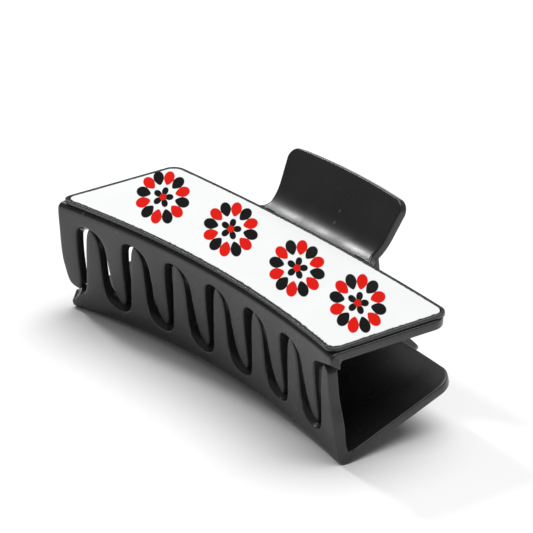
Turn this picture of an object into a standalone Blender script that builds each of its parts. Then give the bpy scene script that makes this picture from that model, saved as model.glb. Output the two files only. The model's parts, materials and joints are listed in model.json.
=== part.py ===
"""Hair claw clip for sectioning: two interlocking toothed jaws on a sprung hinge pin,
with a printed label set in a tray on the upper jaw. Metres, +Z up.

The clip frame has its origin on the hinge axis: X along the pin, Y from the teeth towards
the levers, Z up. The lower jaw is the upper one turned half round about Y, with its teeth
set a little differently. The whole clip is then tipped to the way it lies on a table: on the lower jaw's
front corner and the lower lever's tip."""

import math

import bmesh
import bpy
from mathutils import Matrix, Vector

MM = 0.001

# Jaw moulding
LENGTH = 104.2 * MM          # along the hinge
DEPTH = 36.3 * MM            # plate, teeth face to back edge, at the ends
PIN_BEHIND = 0.8 * MM        # hinge axis behind the plate's back edge, at the ends
FRONT_SAG = 5.7 * MM         # how far the teeth face hollows in at mid-length
BACK_SAG = 2.2 * MM          # how far the back edge bulges out at mid-length
FRONT_RISE = 15.4 * MM       # outer face above the meeting plane, at the teeth face
BACK_RISE = 9.3 * MM         # outer face above the meeting plane, at the back edge
WALL = 2.4 * MM
CORNER_RADIUS = 3.2 * MM     # between plate and teeth face, outside
PLATE_CORNER = 5.0 * MM      # back corners of the plate, seen from above

# Teeth
TEETH = 7
ARCH_RISE = 10.2 * MM        # top of each arch above the meeting plane
END_ARCH_RISE = 11.2 * MM    # the arch that is open at the jaw's end
TIP_REACH = 9.6 * MM         # tips below the meeting plane
TIP_LEAN = 1.0 * MM          # how far the tips curl in towards the hinge
PITCH = 15.0 * MM            # from tooth to tooth
UPPER_SHIFT = -5.75 * MM     # the teeth's offset from an even spread, upper jaw
LOWER_SHIFT = -1.55 * MM     # the same for the lower jaw
UPPER_END = (-0.2 * MM, -0.2 * MM, -0.2 * MM, 0.4 * MM)  # how far in the end tooth's side lies
LOWER_END = (1.8 * MM, 3.2 * MM, 3.6 * MM, 4.2 * MM)     # at four heights, wall to tip

# Lever
LEVER_BASE = 38.8 * MM       # width where it leaves the plate
LEVER_TIP = 42.0 * MM        # width at the tip
LEVER_START = 4.7 * MM       # its curve starts this far ahead of the plate's back edge
LEVER_RADIUS = 11.0 * MM
LEVER_ANGLE = math.radians(54.7)
LEVER_REACH = 10.0 * MM      # straight run after the curve
LEVER_CORNER = 3.0 * MM
LEVER_FILLET = 2.0 * MM

# Hinge
PIN_DIAMETER = 2.4 * MM
PIN_OVERHANG = 0.8 * MM
CLEARANCE = 0.3 * MM         # between pieces that touch or turn on each other
EAR_RADIUS = 4.8 * MM
EAR_WIDTH = 2.5 * MM
EAR_SIDE_GAP = 0.6 * MM      # between an ear and its neighbour on the other jaw
EAR_OUTSIDE = 19.5 * MM      # outer face of the outer ear from mid-length

# Torsion spring
WIRE = 1.2 * MM
COIL_RADIUS = 3.4 * MM       # to the middle of the wire
COIL_PITCH = 1.5 * MM
COIL_TURNS = 7
LEG_LENGTH = 15.0 * MM
LEG_ARC = math.radians(150)  # part of the last turn that swings with the upper leg

# Label tray, adhesive and label, stacked on the upper jaw's plate
TRAY_GAP = 0.12 * MM         # the groove between plate and tray
SEAT_SKIN = 0.05 * MM        # left above the plate where the tray's seat is cut into the lever
SEAT_GAP = 0.1 * MM          # round the tray's edge in that seat
TRAY_HEIGHT = 1.1 * MM
TRAY_FLOOR = 0.35 * MM
TRAY_INSET = 0.3 * MM
TRAY_CORNER = 3.0 * MM
RIM = 0.9 * MM
FILM_GAP = 0.1 * MM
FILM = 0.15 * MM
FILM_INSET = 1.5 * MM        # adhesive's edge inside the label's
LABEL = 0.35 * MM

HALF = LENGTH / 2
FRONT = -(DEPTH + PIN_BEHIND)
BACK = -PIN_BEHIND
SLOPE = math.atan2(FRONT_RISE - BACK_RISE, DEPTH)
BLACK = (0.012, 0.012, 0.013)


def clear_scene():
    for obj in list(bpy.data.objects):
        bpy.data.objects.remove(obj, do_unlink=True)
    for collection in list(bpy.data.collections):
        bpy.data.collections.remove(collection)


def new_collection(name):
    collection = bpy.data.collections.new(name)
    bpy.context.scene.collection.children.link(collection)
    return collection


def finish(name, colour, roughness, metallic=0.0):
    material = bpy.data.materials.new(name)
    material.use_nodes = True
    shader = material.node_tree.nodes["Principled BSDF"]
    shader.inputs["Base Color"].default_value = (*colour, 1.0)
    shader.inputs["Roughness"].default_value = roughness
    shader.inputs["Metallic"].default_value = metallic
    return material


def show(name, mesh, material, parent):
    obj = bpy.data.objects.new(name, mesh)
    mesh.materials.clear()
    mesh.materials.append(material)
    clip.objects.link(obj)
    obj.parent = parent
    return obj


def as_cutter(obj):
    for collection in list(obj.users_collection):
        collection.objects.unlink(obj)
    cutters.objects.link(obj)
    obj.hide_render = True
    obj.display_type = "WIRE"
    return obj


def combine(obj, operation, other):
    modifier = obj.modifiers.new(operation.lower(), "BOOLEAN")
    modifier.operation = operation
    modifier.object = other
    modifier.solver = "EXACT"


def evaluated_mesh(obj, name):
    """The object's mesh after its modifiers, with a curve's caps welded on."""
    bpy.context.view_layer.update()
    graph = bpy.context.evaluated_depsgraph_get()
    mesh = bpy.data.meshes.new_from_object(obj.evaluated_get(graph))
    mesh.name = name
    work = bmesh.new()
    work.from_mesh(mesh)
    bmesh.ops.remove_doubles(work, verts=work.verts, dist=1e-7)
    work.to_mesh(mesh)
    work.free()
    return mesh


def outline_mesh(name, outline, thickness):
    """A flat outline in X and Y, made solid by half its thickness up and down."""
    curve = bpy.data.curves.new(name, "CURVE")
    curve.dimensions = "2D"
    curve.fill_mode = "BOTH"
    curve.extrude = thickness / 2
    spline = curve.splines.new("POLY")
    spline.points.add(len(outline) - 1)
    for point, (x, y) in zip(spline.points, outline):
        point.co = (x, y, 0, 1)
    spline.use_cyclic_u = True
    obj = bpy.data.objects.new(name, curve)
    bpy.context.scene.collection.objects.link(obj)
    mesh = evaluated_mesh(obj, name)
    bpy.data.objects.remove(obj, do_unlink=True)
    return mesh


def wire_mesh(name, path, diameter):
    curve = bpy.data.curves.new(name, "CURVE")
    curve.dimensions = "3D"
    curve.bevel_depth = diameter / 2
    curve.bevel_resolution = 2
    curve.use_fill_caps = True
    spline = curve.splines.new("POLY")
    spline.points.add(len(path) - 1)
    for point, place in zip(spline.points, path):
        point.co = (*place, 1)
    obj = bpy.data.objects.new(name, curve)
    bpy.context.scene.collection.objects.link(obj)
    mesh = evaluated_mesh(obj, name)
    bpy.data.objects.remove(obj, do_unlink=True)
    return mesh


def smooth_line(points, steps):
    """A Catmull-Rom curve through the points."""
    ends = [points[0], *points, points[-1]]
    line = []
    for a, b, c, d in zip(ends, ends[1:], ends[2:], ends[3:]):
        for step in range(steps):
            t = step / steps
            line.append(tuple(
                0.5 * (2 * q + t * (r - p) + t * t * (2 * p - 5 * q + 4 * r - s)
                       + t * t * t * (3 * q - p - 3 * r + s))
                for p, q, r, s in zip(a, b, c, d)))
    line.append(points[-1])
    return line


def corner_arc(start, corner, end, steps=5):
    """A rounded corner: the circle-like conic from start to end that heads for the corner."""
    weight = math.sqrt(0.5)
    arc = []
    for step in range(steps + 1):
        t = step / steps
        a, b, c = (1 - t) ** 2, 2 * t * (1 - t) * weight, t * t
        total = a + b + c
        arc.append(tuple((a * p + b * q + c * r) / total for p, q, r in zip(start, corner, end)))
    return arc


def bow(x):
    """1 at mid-length, 0 at the ends."""
    return 1 - (x / HALF) ** 2


def sag_at(y):
    """The bow's depth at a distance from the hinge: hollow at the teeth, less at the back."""
    share = min(max((y - FRONT) / DEPTH, 0), 1)
    return FRONT_SAG + (BACK_SAG - FRONT_SAG) * share


def front_edge(x, inset=0.0):
    return FRONT + inset + FRONT_SAG * bow(x)


def back_edge(x, inset=0.0):
    return BACK - inset + BACK_SAG * bow(x)


def mirrored(points):
    return points + [(-x, y) for x, y in reversed(points)]


def jaw_profile():
    """The outer face's section, from the tooth tips up, over the plate and along the lever."""
    turn = math.pi / 2 + SLOPE
    corner_start = FRONT_RISE - CORNER_RADIUS * math.tan(turn / 2)
    foot = -(TIP_REACH + 0.5 * MM)
    section = []
    wall_steps, corner_steps, plate_steps, lever_steps = 6, 5, 3, 8
    for step in range(wall_steps):
        z = foot + (corner_start - foot) * step / wall_steps
        below = max(ARCH_RISE - z, 0) / (ARCH_RISE + TIP_REACH)
        section.append((FRONT + TIP_LEAN * below ** 2, z))
    for step in range(corner_steps + 1):
        angle = math.pi - turn * step / corner_steps
        section.append((FRONT + CORNER_RADIUS * (1 + math.cos(angle)),
                        corner_start + CORNER_RADIUS * math.sin(angle)))
    plate_end = BACK - LEVER_START
    plate_start = section[-1][0]
    for step in range(1, plate_steps):
        y = plate_start + (plate_end - plate_start) * step / plate_steps
        section.append((y, plate_height(y)))
    centre_y, centre_z = lever_centre()
    for step in range(lever_steps + 1):
        angle = -SLOPE + (LEVER_ANGLE + SLOPE) * step / lever_steps
        section.append((centre_y + LEVER_RADIUS * math.sin(angle),
                        centre_z - LEVER_RADIUS * math.cos(angle)))
    last_y, last_z = section[-1]
    section.append((last_y + LEVER_REACH * math.cos(LEVER_ANGLE),
                    last_z + LEVER_REACH * math.sin(LEVER_ANGLE)))
    return section


def plate_height(y):
    """The plate's outer face above the meeting plane."""
    return FRONT_RISE - (y - FRONT) * math.tan(SLOPE)


def lever_centre(x=HALF):
    """The centre of the lever's curve at a place along the jaw, in Y and Z."""
    y = BACK - LEVER_START + BACK_SAG * bow(x)
    return (y + LEVER_RADIUS * math.sin(SLOPE),
            plate_height(y) + LEVER_RADIUS * math.cos(SLOPE))


def jaw_sheet(name):
    """The outer face as one bowed sheet, given its wall inwards."""
    section = jaw_profile()
    columns = 24
    rows = len(section) - 1
    overrun = 1.0 * MM
    grid = bmesh.new()
    bmesh.ops.create_grid(grid, x_segments=columns, y_segments=rows, size=1)
    for vert in grid.verts:
        x = vert.co.x * (HALF + overrun)
        y, z = section[round((vert.co.y + 1) / 2 * rows)]
        shift = sag_at(y) * bow(x)
        share = min((z - section[0][1]) / (FRONT_RISE - CORNER_RADIUS - section[0][1]), 1)
        vert.co = (x, y + shift, z - shift * math.tan(SLOPE) * share)
    mesh = bpy.data.meshes.new(name)
    grid.to_mesh(mesh)
    grid.free()
    obj = bpy.data.objects.new(name, mesh)
    bpy.context.scene.collection.objects.link(obj)
    wall = obj.modifiers.new("wall", "SOLIDIFY")
    wall.thickness = WALL
    wall.offset = -1
    wall.use_even_offset = True
    return obj


def plan_outline():
    """The jaw seen from above: plate with round back corners, and the lever tab."""
    ahead = FRONT - 5 * MM
    side = HALF - PLATE_CORNER
    half = [(HALF, ahead), (HALF, BACK - PLATE_CORNER)]
    half += corner_arc(half[-1], (HALF, back_edge(HALF)), (side, back_edge(side)))[1:]
    base = LEVER_BASE / 2
    root = base + LEVER_FILLET
    steps = 5
    for step in range(1, steps):
        x = side + (root - side) * step / steps
        half.append((x, back_edge(x)))
    half += corner_arc((root, back_edge(root)), (base, back_edge(base)),
                       (base, back_edge(base) + LEVER_FILLET))
    flat = LEVER_TIP / 2
    tip = jaw_profile()[-1][0] + BACK_SAG * bow(flat)
    tip_start = tip - LEVER_CORNER * math.cos(LEVER_ANGLE)
    beyond = tip_start + 3 * LEVER_CORNER
    half += corner_arc((flat, tip_start), (flat, beyond), (flat - LEVER_CORNER, beyond))
    return mirrored(half)


def tooth_edges(shift, end_line):
    """The line along arches and tooth tips, left to right: X and Z."""
    points = [(-HALF - 4 * MM, -TIP_REACH - 4 * MM), (-HALF - 4 * MM, ARCH_RISE)]
    levels = (0.6 * ARCH_RISE, 0.0, -0.4 * TIP_REACH, -0.86 * TIP_REACH)
    edge = [(-HALF - 0.2 * MM, ARCH_RISE)]
    edge += [(inward - HALF, height) for inward, height in zip(end_line, levels)]
    for tooth in range(TEETH):
        middle = (tooth + 0.5 - TEETH / 2) * PITCH + shift
        if tooth:
            edge += [(middle - 0.25 * PITCH, 0.80 * ARCH_RISE),
                     (middle - 0.19 * PITCH, 0.56 * ARCH_RISE),
                     (middle - 0.175 * PITCH, 0.15 * ARCH_RISE),
                     (middle - 0.15 * PITCH, -0.42 * TIP_REACH),
                     (middle - 0.09 * PITCH, -0.80 * TIP_REACH)]
        edge += [(middle + 0.03 * PITCH, -TIP_REACH),
                 (middle + 0.11 * PITCH, -0.80 * TIP_REACH),
                 (middle + 0.145 * PITCH, -0.35 * TIP_REACH),
                 (middle + 0.18 * PITCH, 0.30 * ARCH_RISE),
                 (middle + 0.24 * PITCH, 0.84 * ARCH_RISE),
                 (middle + 0.39 * PITCH, ARCH_RISE)]
        if tooth < TEETH - 1:
            edge.append((middle + 0.61 * PITCH, 0.96 * ARCH_RISE))
    points += smooth_line(edge, 3)
    points += [(HALF - 2 * MM, END_ARCH_RISE),
               (HALF + 4 * MM, END_ARCH_RISE),
               (HALF + 4 * MM, -TIP_REACH - 4 * MM)]
    return points


def ear_outline(x):
    """A hinge ear in Y and Z: round about the pin, its neck ending inside plate and lever."""
    centre_y, centre_z = lever_centre(x)
    middle = LEVER_RADIUS + WALL / 2
    outline = []
    steps = 12
    for step in range(steps + 1):
        angle = math.pi + math.pi * step / steps
        outline.append((EAR_RADIUS * math.cos(angle), EAR_RADIUS * math.sin(angle)))
    for y in (EAR_RADIUS, EAR_RADIUS / 2, 0.0):
        outline.append((y, centre_z - math.sqrt(middle ** 2 - (y - centre_y) ** 2)))
    outline.append((-EAR_RADIUS, plate_height(-EAR_RADIUS) - WALL / 2))
    return outline


def stand_up(mesh, middle):
    """Turns an outline drawn in X and Y to stand in Y and Z, centred on X = middle."""
    mesh.transform(Matrix(((0, 0, 1, middle), (1, 0, 0, 0), (0, 1, 0, 0), (0, 0, 0, 1))))


def jaw_mesh(name, shift, end_line):
    """One jaw moulding: sheet trimmed to its outline, ears added, teeth, seat and bore cut."""
    blank = jaw_sheet("jaw_blank")

    trim = outline_mesh("plan_trim", plan_outline(), 6 * FRONT_RISE)
    combine(blank, "INTERSECT", as_cutter(place(trim)))

    gaps = outline_mesh("tooth_gaps", tooth_edges(shift, end_line), FRONT_SAG + 12 * MM)
    upright = Matrix.Rotation(math.pi / 2, 4, "X")
    gaps.transform(Matrix.Translation((0, FRONT + FRONT_SAG / 2, 0)) @ upright)
    combine(blank, "DIFFERENCE", as_cutter(place(gaps)))

    outer = EAR_OUTSIDE - EAR_WIDTH / 2
    inner = -(outer - EAR_WIDTH - EAR_SIDE_GAP)
    for number, middle in enumerate((outer, inner)):
        ear = outline_mesh(f"ear_{number}", ear_outline(middle), EAR_WIDTH)
        stand_up(ear, middle)
        combine(blank, "UNION", as_cutter(place(ear)))

    seat = layer_mesh("tray_seat", TRAY_INSET - SEAT_GAP, TRAY_CORNER, SEAT_SKIN, 4 * TRAY_HEIGHT)
    combine(blank, "DIFFERENCE", as_cutter(place(seat)))

    bore = cylinder_mesh("pin_bore", PIN_DIAMETER / 2 + CLEARANCE, LENGTH / 2, 24)
    combine(blank, "DIFFERENCE", as_cutter(place(bore)))

    mesh = evaluated_mesh(blank, name)
    bpy.data.objects.remove(blank, do_unlink=True)
    return mesh


def place(mesh):
    obj = bpy.data.objects.new(mesh.name, mesh)
    bpy.context.scene.collection.objects.link(obj)
    return obj


def cylinder_mesh(name, radius, length, sides):
    """A cylinder along X."""
    work = bmesh.new()
    bmesh.ops.create_cone(work, cap_ends=True, segments=sides, radius1=radius, radius2=radius,
                          depth=length, matrix=Matrix.Rotation(math.pi / 2, 4, "Y"))
    mesh = bpy.data.meshes.new(name)
    work.to_mesh(mesh)
    work.free()
    return mesh


def plate_outline(inset, radius):
    """The plate's outline seen from above, pulled in by inset, with round corners."""
    end = HALF - inset
    side = end - radius
    half = corner_arc((side, front_edge(side, inset)), (end, front_edge(end, inset)),
                      (end, front_edge(end, inset) + radius), 6)
    half += corner_arc((end, back_edge(end, inset) - radius), (end, back_edge(end, inset)),
                       (side, back_edge(side, inset)), 6)
    steps = 12
    back = []
    front = []
    for step in range(1, steps):
        x = side - 2 * side * step / steps
        back.append((x, back_edge(x, inset)))
        front.append((-x, front_edge(-x, inset)))
    left = [(-x, y) for x, y in reversed(half)]
    return half + back + left + front


def layer_mesh(name, inset, radius, bottom, top):
    """A flat layer lying on the plate, between two heights above its outer face."""
    mesh = outline_mesh(name, plate_outline(inset, radius), top - bottom)
    mesh.transform(on_plate() @ Matrix.Translation((0, 0, (bottom + top) / 2)))
    return mesh


def on_plate():
    """Tips what is drawn level onto the plate, which falls towards the hinge."""
    return Matrix(((1, 0, 0, 0), (0, 1, 0, 0),
                   (0, -math.tan(SLOPE), 1, plate_height(0)), (0, 0, 0, 1)))


def tray_mesh():
    top = TRAY_GAP + TRAY_HEIGHT
    tray = place(layer_mesh("tray_blank", TRAY_INSET, TRAY_CORNER, TRAY_GAP, top))
    recess = layer_mesh("tray_recess", TRAY_INSET + RIM, TRAY_CORNER - RIM / 2,
                        TRAY_GAP + TRAY_FLOOR, top + MM)
    combine(tray, "DIFFERENCE", as_cutter(place(recess)))
    mesh = evaluated_mesh(tray, "label_tray")
    bpy.data.objects.remove(tray, do_unlink=True)
    return mesh


def leg_line():
    """The upper leg: straight, tangent to the coil's front, just clear of the lever's inside."""
    centre = Vector(lever_centre(0))
    reach = COIL_RADIUS + LEVER_RADIUS + WALL + WIRE / 2 + CLEARANCE
    angle = math.atan2(-centre.x, centre.y) + math.acos(reach / centre.length)
    start = COIL_RADIUS * Vector((-math.sin(angle), math.cos(angle)))
    heading = Vector((math.cos(angle), math.sin(angle)))
    return angle, start, start + LEG_LENGTH * heading


def spring_paths():
    """The coil with its lower leg, and the last part-turn with the upper leg."""
    angle, _, leg_end = leg_line()
    start_turn = -(math.pi / 2 + angle)
    end_turn = math.pi / 2 + angle - 2 * math.pi * COIL_TURNS
    split = end_turn + LEG_ARC
    left = -COIL_PITCH * COIL_TURNS / 2
    coil = [(left, leg_end.x, -leg_end.y)]
    points_a_turn = 16
    steps = round((start_turn - split) / (2 * math.pi) * points_a_turn)
    for step in range(steps + 1):
        turn = start_turn + (split - start_turn) * step / steps
        x = left + COIL_PITCH * (start_turn - turn) / (2 * math.pi)
        coil.append((x, COIL_RADIUS * math.cos(turn), COIL_RADIUS * math.sin(turn)))
    swing_x = coil[-1][0] + WIRE + CLEARANCE
    swing = []
    steps = round(LEG_ARC / (2 * math.pi) * points_a_turn)
    for step in range(steps + 1):
        turn = split - LEG_ARC * step / steps
        swing.append((swing_x, COIL_RADIUS * math.cos(turn), COIL_RADIUS * math.sin(turn)))
    swing.append((swing_x, leg_end.x, leg_end.y))
    return coil, swing


def rest_tilt(mesh):
    """The tip about X that brings the lower jaw's front corner and lever tip level."""
    corners = [(-v.co.z, v.co.y) for v in mesh.vertices]
    tilt = 0.0
    for _ in range(8):
        heights = [(z * math.cos(tilt) + y * math.sin(tilt), y, z) for z, y in corners]
        _, front_y, front_z = min(h for h in heights if h[1] < BACK)
        _, tip_y, tip_z = min(h for h in heights if h[1] > 0)
        tilt = math.atan2(front_z - tip_z, tip_y - front_y)
    return tilt


def stand_on_floor(frame):
    """Moves the frame so that the box round all pieces has its bottom centre at the origin."""
    bpy.context.view_layer.update()
    corners = [obj.matrix_world @ v.co for obj in clip.objects if obj.type == "MESH"
               for v in obj.data.vertices]
    low = Vector([min(c[i] for c in corners) for i in range(3)])
    high = Vector([max(c[i] for c in corners) for i in range(3)])
    frame.location = (-(low.x + high.x) / 2, -(low.y + high.y) / 2, -low.z)


clear_scene()
clip = new_collection("sectioning_clip")
cutters = new_collection("cutters")

resting_frame = bpy.data.objects.new("resting_frame", None)
hinge_axis = bpy.data.objects.new("hinge_axis", None)
for empty in (resting_frame, hinge_axis):
    clip.objects.link(empty)
hinge_axis.parent = resting_frame

jaw_plastic = finish("matt_black_plastic", BLACK, 0.5)
show("upper_jaw", jaw_mesh("upper_jaw", UPPER_SHIFT, UPPER_END), jaw_plastic, hinge_axis)
lower_moulding = jaw_mesh("lower_jaw", LOWER_SHIFT, LOWER_END)
lower_jaw = show("lower_jaw", lower_moulding, jaw_plastic, resting_frame)
lower_jaw.rotation_euler = (0, math.pi, 0)

show("label_tray", tray_mesh(), finish("satin_black_plastic", BLACK, 0.35), hinge_axis)
film_bottom = TRAY_GAP + TRAY_FLOOR + FILM_GAP
label_bottom = film_bottom + FILM + FILM_GAP
label_inset = TRAY_INSET + RIM + FILM_GAP
label_corner = TRAY_CORNER - RIM / 2
show("label_adhesive",
     layer_mesh("label_adhesive", label_inset + FILM_INSET, label_corner,
                film_bottom, film_bottom + FILM),
     finish("clear_adhesive", (0.75, 0.74, 0.68), 0.6), hinge_axis)
show("label_insert",
     layer_mesh("label_insert", label_inset, label_corner, label_bottom, label_bottom + LABEL),
     finish("white_print", (0.88, 0.9, 0.9), 0.3), hinge_axis)

steel = finish("bright_steel", (0.6, 0.6, 0.6), 0.25, 1.0)
show("hinge_pin", cylinder_mesh("hinge_pin", PIN_DIAMETER / 2, 2 * (EAR_OUTSIDE + PIN_OVERHANG), 24),
     steel, resting_frame)
coil_path, swing_path = spring_paths()
spring_steel = finish("spring_steel", (0.5, 0.5, 0.48), 0.3, 1.0)
show("spring_coil", wire_mesh("spring_coil", coil_path, WIRE), spring_steel, resting_frame)
show("spring_upper_leg", wire_mesh("spring_upper_leg", swing_path, WIRE), spring_steel, hinge_axis)

resting_frame.rotation_euler = (rest_tilt(lower_moulding), 0, 0)
stand_on_floor(resting_frame)
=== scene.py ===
"""Looks of the sectioning clip: camera and light, then the clip piece by piece as it is
put together. Metres; each piece is worked out in the clip's own frame (X along the hinge
pin, Y from the teeth to the levers, Z up, origin on the hinge axis) and then settled."""

import json
import math

import bpy
import numpy as np
from mathutils import Matrix, Vector
from mathutils.geometry import delaunay_2d_cdt


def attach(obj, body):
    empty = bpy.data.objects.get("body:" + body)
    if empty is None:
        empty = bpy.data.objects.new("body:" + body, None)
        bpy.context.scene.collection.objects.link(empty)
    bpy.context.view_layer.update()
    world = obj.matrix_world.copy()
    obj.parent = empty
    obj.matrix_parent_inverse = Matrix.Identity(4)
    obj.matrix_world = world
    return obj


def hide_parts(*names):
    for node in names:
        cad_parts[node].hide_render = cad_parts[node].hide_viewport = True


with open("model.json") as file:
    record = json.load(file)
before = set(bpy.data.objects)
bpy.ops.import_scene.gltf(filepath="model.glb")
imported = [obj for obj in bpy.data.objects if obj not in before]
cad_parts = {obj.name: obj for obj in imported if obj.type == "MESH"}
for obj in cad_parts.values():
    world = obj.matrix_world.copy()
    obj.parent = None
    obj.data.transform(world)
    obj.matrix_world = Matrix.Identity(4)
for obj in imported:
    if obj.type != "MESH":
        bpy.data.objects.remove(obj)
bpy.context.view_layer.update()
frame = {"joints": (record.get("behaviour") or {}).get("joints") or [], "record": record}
MM = 0.001

# ---------------------------------------------------------------- table, light and camera
# A plain pale table top, lit by one wide soft lamp overhead and a softbox at the left.
# The long lens stands well back, a little turned about its own axis.
CAMERA_TARGET = Vector((-0.009604, 0.002742, 0.019537))
CAMERA_DISTANCE = 0.917997
CAMERA_AZIMUTH = math.radians(50.234)
CAMERA_ELEVATION = math.radians(25.064)
CAMERA_ROLL = math.radians(1.895)
CAMERA_LENS = 255.01
OVERHEAD_FROM = (math.radians(190), math.radians(70))    # azimuth and elevation
OVERHEAD_ENERGY = 2.7
OVERHEAD_ANGLE = math.radians(60)
SOFTBOX_FROM = (math.radians(-84), math.radians(46))
SOFTBOX_ENERGY = 2.2
SOFTBOX_SIZE = 0.12
SOFTBOX_DISTANCE = 0.9
ROOM_BRIGHTNESS = 0.22
TABLE_SIZE = 12.0
TABLE_TOP = -0.5 * MM         # the lower jaw's rounded front corner reaches down to here


def direction(azimuth, elevation):
    """Unit vector towards a place in the room; azimuth 0 is in front, 90 at the right."""
    return Vector((math.sin(azimuth) * math.cos(elevation),
                   -math.cos(azimuth) * math.cos(elevation), math.sin(elevation)))


camera = bpy.data.objects.new("camera", bpy.data.cameras.new("camera"))
bpy.context.scene.collection.objects.link(camera)
backwards = direction(CAMERA_AZIMUTH, CAMERA_ELEVATION)
camera.location = CAMERA_TARGET + CAMERA_DISTANCE * backwards
camera.rotation_euler = (backwards.to_track_quat("Z", "Y").to_matrix()
                         @ Matrix.Rotation(CAMERA_ROLL, 3, "Z")).to_euler()
camera.data.sensor_width = 36.0
camera.data.lens = CAMERA_LENS
camera.data.clip_start = 0.05
camera.data.clip_end = 50.0
bpy.context.scene.camera = camera
bpy.context.scene.view_settings.view_transform = "Standard"


def lamp(name, kind, towards, energy, size, distance=1.0):
    """A lamp that shines at the clip from a direction."""
    light = bpy.data.lights.new(name, kind)
    light.energy = energy
    if kind == "SUN":
        light.angle = size
    else:
        light.shape = "DISK"
        light.size = size
    obj = bpy.data.objects.new(name, light)
    bpy.context.scene.collection.objects.link(obj)
    obj.location = distance * towards
    obj.rotation_euler = towards.to_track_quat("Z", "Y").to_euler()


lamp("overhead_lamp", "SUN", direction(*OVERHEAD_FROM), OVERHEAD_ENERGY, OVERHEAD_ANGLE)
lamp("left_softbox", "AREA", direction(*SOFTBOX_FROM), SOFTBOX_ENERGY, SOFTBOX_SIZE,
     SOFTBOX_DISTANCE)

room = bpy.data.worlds.new("room")
room.use_nodes = True
room.node_tree.nodes["Background"].inputs["Color"].default_value = (1.0, 1.0, 1.0, 1.0)
room.node_tree.nodes["Background"].inputs["Strength"].default_value = ROOM_BRIGHTNESS
bpy.context.scene.world = room


class Finish:
    """A material's node tree, with short calls for the nodes that the finishes share."""

    def __init__(self, name, roughness, metallic=0.0, specular=0.5):
        self.material = bpy.data.materials.new(name)
        self.material.use_nodes = True
        self.tree = self.material.node_tree
        self.shader = self.tree.nodes["Principled BSDF"]
        self.shader.inputs["Roughness"].default_value = roughness
        self.shader.inputs["Metallic"].default_value = metallic
        self.shader.inputs["Specular IOR Level"].default_value = specular
        self.place = self.tree.nodes.new("ShaderNodeTexCoord").outputs["Object"]

    def link(self, socket, value):
        if isinstance(value, bpy.types.NodeSocket):
            self.tree.links.new(value, socket)
        elif value is not None:
            socket.default_value = value

    def math(self, operation, a, b=None, c=None):
        node = self.tree.nodes.new("ShaderNodeMath")
        node.operation = operation
        for socket, value in zip(node.inputs, (a, b, c)):
            self.link(socket, value)
        return node.outputs[0]

    def noise(self, scale, detail=2.0, stretch=None):
        """Noise with so many swells to the metre; stretch squeezes it along an axis."""
        node = self.tree.nodes.new("ShaderNodeTexNoise")
        node.inputs["Scale"].default_value = scale
        node.inputs["Detail"].default_value = detail
        place = self.place
        if stretch:
            mapping = self.tree.nodes.new("ShaderNodeMapping")
            mapping.inputs["Scale"].default_value = stretch
            self.link(mapping.inputs["Vector"], place)
            place = mapping.outputs[0]
        self.link(node.inputs["Vector"], place)
        return node.outputs["Fac"]

    def spread(self, value, low, high, to_low, to_high):
        """The value taken from one range to another and held inside it."""
        node = self.tree.nodes.new("ShaderNodeMapRange")
        node.inputs["From Min"].default_value = low
        node.inputs["From Max"].default_value = high
        node.inputs["To Min"].default_value = to_low
        node.inputs["To Max"].default_value = to_high
        self.link(node.inputs["Value"], value)
        return node.outputs[0]

    def mix(self, share, a, b):
        """Colour a turning to colour b as share goes from 0 to 1."""
        node = self.tree.nodes.new("ShaderNodeMix")
        node.data_type = "RGBA"
        self.link(node.inputs[0], share)
        for socket, value in ((node.inputs[6], a), (node.inputs[7], b)):
            self.link(socket, value if isinstance(value, bpy.types.NodeSocket) else (*value, 1.0))
        return node.outputs[2]

    def inked(self, a, b):
        """1 where a is above b, with a narrow soft edge."""
        return self.spread(self.math("SUBTRACT", a, b), -0.012, 0.012, 0.0, 1.0)

    def attribute(self, name):
        node = self.tree.nodes.new("ShaderNodeAttribute")
        node.attribute_name = name
        return node.outputs["Fac"]

    def bump(self, height, depth, strength=1.0, under=None):
        node = self.tree.nodes.new("ShaderNodeBump")
        node.inputs["Distance"].default_value = depth
        node.inputs["Strength"].default_value = strength
        self.link(node.inputs["Height"], height)
        if under is not None:
            self.link(node.inputs["Normal"], under)
        return node.outputs[0]

    def set(self, **sockets):
        """Links or sets the shader's sockets by name, with _ for a space."""
        for name, value in sockets.items():
            self.link(self.shader.inputs[name.replace("_", " ")], value)
        return self.material


table = bpy.data.meshes.new("table_top")
reach = TABLE_SIZE / 2
table.from_pydata([(-reach, -reach, TABLE_TOP), (reach, -reach, TABLE_TOP),
                   (reach, reach, TABLE_TOP), (-reach, reach, TABLE_TOP)], [], [(0, 1, 2, 3)])
table_top = bpy.data.objects.new("table_top", table)
bpy.context.scene.collection.objects.link(table_top)
pale = Finish("pale_table", 0.75, specular=0.2)
cloud = pale.spread(pale.noise(6.0), 0.3, 0.7, 0.0, 1.0)
table.materials.append(pale.set(Base_Color=pale.mix(cloud, (0.93, 0.93, 0.93), (0.95, 0.95, 0.95)),
                                Normal=pale.bump(pale.noise(900.0), 0.00002, 0.2)))

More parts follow.
